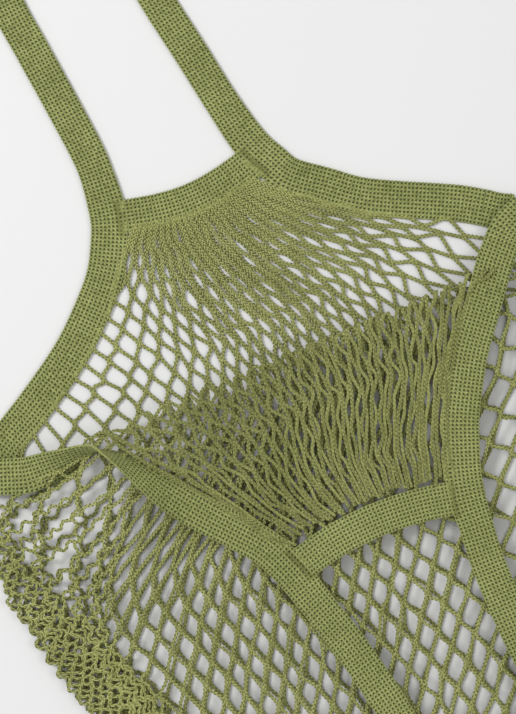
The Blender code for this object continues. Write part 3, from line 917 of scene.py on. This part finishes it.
def outline_side(first_y, side, inset=2.0):
    """The body's outline from under the turn to the end of the bottom seam."""
    last = (1 - (SEAM_HALF / HALF_WIDTH) ** 2) ** (2 / 3)
    ys = WIDEST_Y - BODY_DEPTH * (last - (last - (WIDEST_Y - first_y) / BODY_DEPTH)
                                  * (1 - np.linspace(0, 1, 14)) ** 1.5)
    return np.column_stack([side * (outline_half_width(ys) - inset), ys])


def bottom_edge(inset=2.0):
    x = np.linspace(-SEAM_HALF, SEAM_HALF, SEAM_POINTS)
    share = (1 - (x / HALF_WIDTH) ** 2) ** (2 / 3)
    return np.column_stack([x, WIDEST_Y - BODY_DEPTH * share + inset])


TAPE_INSET = TAPE / 2 - 1.5
left_inner = inner_edge(back_left_line, 1, TAPE_INSET, -5.0, 158.0)
right_inner = inner_edge(back_right_line, -1, TAPE_INSET, -5.0, 158.0)
print("back tape edges:", left_inner[0].round(), left_inner[-1].round(), right_inner[-1].round())

# %% Back panel
LATE, LATE_FROM = 5, 4  # columns that start on the left tape, and the even row of the first
SEWN = LATE_FROM + 2 * LATE
under_band = np.array([(-36, -4.5), (-18, -8.8), (0, -10.4), (18, -8.8), (38, -5.0)])
back = Lattice(SPANS, ROWS, [(0, LATE), (LATE_FROM, LATE), (SEWN, 0), (ROWS, 0)])
tape_part = left_inner[left_inner[:, 1] < -36]
back_left = np.vstack([even(np.vstack([under_band[:1], left_inner[left_inner[:, 1] > -38]]),
                            LATE_FROM)[:-1],
                       even(tape_part, 2 * LATE)[:-1],
                       even(np.vstack([tape_part[-1:], outline_side(-112.0, -1)]), ROWS - SEWN)])
back_right = even(np.vstack([under_band[-1:], right_inner, outline_side(-92.0, 1)]), ROWS, PACE)
back.spread(even(under_band, SPANS - LATE), even(bottom_edge(), SPANS), back_left, back_right)
back.relax()
back.gather(rows=(2, 8, 15, 22), to_middle=0.03, to_right=0.10)
print("back knots:", int(back.used.sum()))

# %% [markdown]
# ## The front panel
#
# It is laid out flat as well, with the folded neck pointing up, and rolled over the fold line
# when its yarns are made. All its cords are gathered into the short front band, so they crowd
# together beside both tapes.

# %% Front panel


def unfolded(points):
    """Plan points of the flap, turned back up over the fold line."""
    p = np.array(points, float)[:, :2].copy()
    p[:, 1] = 2 * FOLD_Y - p[:, 1]
    return p


front_under_band = unfolded([(-29, -213), (0, -208.3), (24, -206.7), (48, -208.3), (78, -213)])
flap_left_inner = unfolded([(-41.5, -193), (-53.5, -176.5), (-71, -152), (-86, -133), (-95, -119)])
flap_right_inner = unfolded([(80, -188), (88, -170), (98, -152), (110, -136), (128, -114)])
front_left_edge = np.vstack([front_under_band[:1] + (-2, -4), flap_left_inner,
                             [(-106, -120), (-128, -119), (-150, -115)],
                             outline_side(-122.0, -1)])
front_right_edge = np.vstack([front_under_band[-1:] + (2, -4), flap_right_inner,
                              [(140, -108)], outline_side(-120.0, 1)])
front = Lattice(SPANS, ROWS, [(0, 0), (ROWS, 0)])
front.spread(even(front_under_band, SPANS), even(bottom_edge(), SPANS),
             even(front_left_edge, ROWS, PACE), even(front_right_edge, ROWS, PACE))
front.relax()
front.gather(rows=(2, 6, 12, 18), to_middle=0.0, to_right=0.09)
print("front knots:", int(front.used.sum()))

# %% [markdown]
# ## Two panels lying together
#
# Over the body the two panels lie one on the other, almost knot on knot, so their cords look
# doubled. And the bag was laid down bunched along its left side, which crowds the cords there
# into a wavy band that follows the outline, and pulls the diamonds of the body open.

# %% Line up the panels and bunch the left side
BUNCH_FROM, BUNCH_TO = 112.0, 35.0  # this much cloth beside the outline lies in that width
BUNCH_TOP, BUNCH_BOTTOM = -103.0, -425.0  # the plan's y where the bunching starts and ends
DOUBLED = np.array((1.1, -0.9))  # how far the two panels' knots lie apart


def smooth_step(t):
    t = np.clip(t, 0, 1)
    return t * t * (3 - 2 * t)


LINED_LEFT, LINED_FROM, LINED_OVER = 16, 10, 5  # rows: later beside the left tape
lined_from = LINED_LEFT - (LINED_LEFT - LINED_FROM) * np.clip(back.column / 10, 0, 1)
lined = smooth_step((np.arange(ROWS + 1)[:, None] - lined_from) / LINED_OVER)[..., None]
back.knots = back.knots * (1 - lined) + (front.knots + DOUBLED) * lined


def bunch_left(net):
    """Crowd the cloth beside the left outline, and let the rest open."""
    x, y = net.knots[..., 0], net.knots[..., 1]
    half = outline_half_width(y) - 2
    inside = x + half
    rest = (2 * half - BUNCH_TO) / np.maximum(2 * half - BUNCH_FROM, 1)
    crowded = np.where(inside < BUNCH_FROM, inside * BUNCH_TO / BUNCH_FROM,
                       BUNCH_TO + (inside - BUNCH_FROM) * rest)
    onset = 32 + 90 * smooth_step((inside - 30) / 80)  # gentler away from the outline
    share = smooth_step((BUNCH_TOP - y) / onset) * smooth_step((y - BUNCH_BOTTOM) / 60)
    net.knots[..., 0] = x + (crowded - inside) * share
    net.bunched = share * smooth_step((BUNCH_TO + 8 - crowded) / 14)


bunch_left(back)
bunch_left(front)
print("bunched band:", BUNCH_TO, "mm wide")

# %% [markdown]
# ## Knit both panels
#
# The cords are made in groups, so that no piece grows too heavy. A small irregular shift of every
# knot keeps the net from looking printed. Where cords crowd together, neighbours ride a little
# over and under each other, and the ones underneath are given painted shade.

# %% Back and front nets


def shake(net, rng, size):
    net.knots[~net.sewn] += rng.normal(0, size, (int((~net.sewn).sum()), 2))


def back_place(yarn, nudge):
    x, y, height, relief = yarn.T
    return np.column_stack([x, y, np.full_like(x, BACK_MID) + height, relief])


FLAP_PAINTED_LIGHT = 0.22  # painted light: the flap's cords get less painted shade, so the flap shows lighter


def front_place(yarn, nudge):
    """Roll a yarn over the fold; each cord folds a little earlier or later than the next."""
    x, y, height, relief = yarn.T
    past = y - FOLD_Y - nudge
    out, z = roll_over(past, height, 0.0, FOLD_RADIUS)
    base = np.where(past < 0, front_height(x, y), FRONT_MID)
    # Painted light: past the fold the cords are lightened.
    relief = relief + FLAP_PAINTED_LIGHT * np.clip(past / 4, 0, 1)
    return np.column_stack([x, FOLD_Y + nudge + out, base + z, relief])


def knit_panel(net, place, rng, groups, trim):
    packed = crowding(net)
    cords = [(i, 1) for i in range(SPANS)] + [(i, -1) for i in range(1, SPANS + 1)]
    cords.sort(key=lambda c: c[0] - 0.25 * (c[1] < 0))
    pieces = []
    for part in np.array_split(np.arange(len(cords)), groups):
        yarns, total = [], 0.0
        for k in part:
            line = cord_line(*cord_knots(net, *cords[k], packed), rng)
            total += line_length(line)
            nudge = rng.normal(0, NUDGE)
            for yarn in plait(line, 1 if k % 2 else -1, trim, rng):
                yarns.append(place(yarn, nudge))
        pieces.append((yarns, total))
    return pieces


rng = np.random.default_rng(7)
shake(back, rng, 0.55)
shake(front, rng, 0.6)
NET_PIECES = 5  # a panel is drawn in this many pieces, so that none is too heavy
NUDGE = 1.1  # how far apart, in millimetres, neighbouring cords fold


def finish_net(name, yarns, total, nodes):
    made = yarn_mesh(name, yarns, net_cotton)
    if nodes:
        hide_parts(*nodes)
    return made


for n, (yarns, total) in enumerate(knit_panel(back, back_place, rng, NET_PIECES, trim=-0.45)):
    net = finish_net(f"back_net_{n + 1}", yarns, total, ("back_net",) if n == 0 else ())
    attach(net, "bag")

front_nodes = ["front_net_left_side", "front_net_middle", "front_flap_net", "front_net_bottom",
               "front_net_right_side"]
fold_start = to_frame((0, FOLD_Y, 10.8))
fold_end = to_frame((0, FOLD_Y, 12.4))
for n, (yarns, total) in enumerate(knit_panel(front, front_place, rng, NET_PIECES, trim=0.2)):
    net = finish_net(f"front_net_{n + 1}", yarns, total, (front_nodes[n],))
    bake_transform(net)

# %% [markdown]
# ## Seams
#
# The band's ends are caught by a zigzag in a yellower thread. The handle's two straps meet at the
# top under the same stitch, and an overlocked cord closes the bottom.

# %% Zigzag seams and the bottom seam


def zigzag(name, line, width, pitch, height, finish, radius=0.25):
    path = smooth_line(line, pitch / 2)[:, :2]
    ahead = np.gradient(path, axis=0)
    ahead /= np.linalg.norm(ahead, axis=1, keepdims=True)
    side = np.column_stack([-ahead[:, 1], ahead[:, 0]])
    swing = np.where(np.arange(len(path)) % 2, 1, -1)[:, None] * width / 2
    points = np.column_stack([path + side * swing, np.full(len(path), height),
                              np.ones(len(path))])
    return yarn_mesh(name, [points], finish, radius)


seams = [("back_left_corner", [(-41, 14), (-42.5, 4), (-45, -6)], 2.6, "bag",
          "back_left_corner_seam"),
         ("back_right_corner", [(37, 13), (41.5, 3), (46, -6)], 2.6, "bag",
          "back_right_corner_seam"),
         ("front_left_corner", [(-29, -208), (-25, -218), (-21, -228)], 14.5, "front_flap",
          "front_left_corner_seam"),
         ("front_right_corner", [(73, -208), (70.5, -218), (68.5, -228)], 14.5, "front_flap",
          "front_right_corner_seam"),
         ("back_handle", [(-16, 198.5), (-16, 215.7)], 2.6, "back_handle", "back_handle_seam"),
         ("front_handle", [(36, -413.5), (36, -430.7)], 14.5, "front_handle",
          "front_handle_seam")]
for name, line, height, body, replaced in seams:
    seam = zigzag(name + "_stitches", line, 3.4, 1.6, height, seam_cotton)
    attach(seam, body)
    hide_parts(replaced)

seam_line = np.column_stack([bottom_edge(inset=-1.5), np.zeros(SEAM_POINTS)])
seam_path = smooth_line(seam_line, 1.0)
COIL_PITCH, COIL_WIDE, COIL_HIGH, COIL_MID = 2.4, 1.8, 2.0, 2.9
coils = []
for start in (0.0, math.pi):
    turn = np.arange(0, len(seam_path) - 1, 0.1)
    at = np.column_stack([np.interp(turn, np.arange(len(seam_path)), c) for c in seam_path.T])
    angle = turn * 2 * math.pi / COIL_PITCH + start
    # The last column is painted shade: the coil is darkened where it turns underneath.
    coils.append(np.column_stack([at[:, 0], at[:, 1] + COIL_WIDE * np.cos(angle),
                                  COIL_MID + COIL_HIGH * np.sin(angle),
                                  0.6 + 0.4 * np.sin(angle)]))
bottom = yarn_mesh("bottom_overlock", coils, net_cotton, 0.45)
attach(bottom, "bag")
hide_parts("bottom_seam")
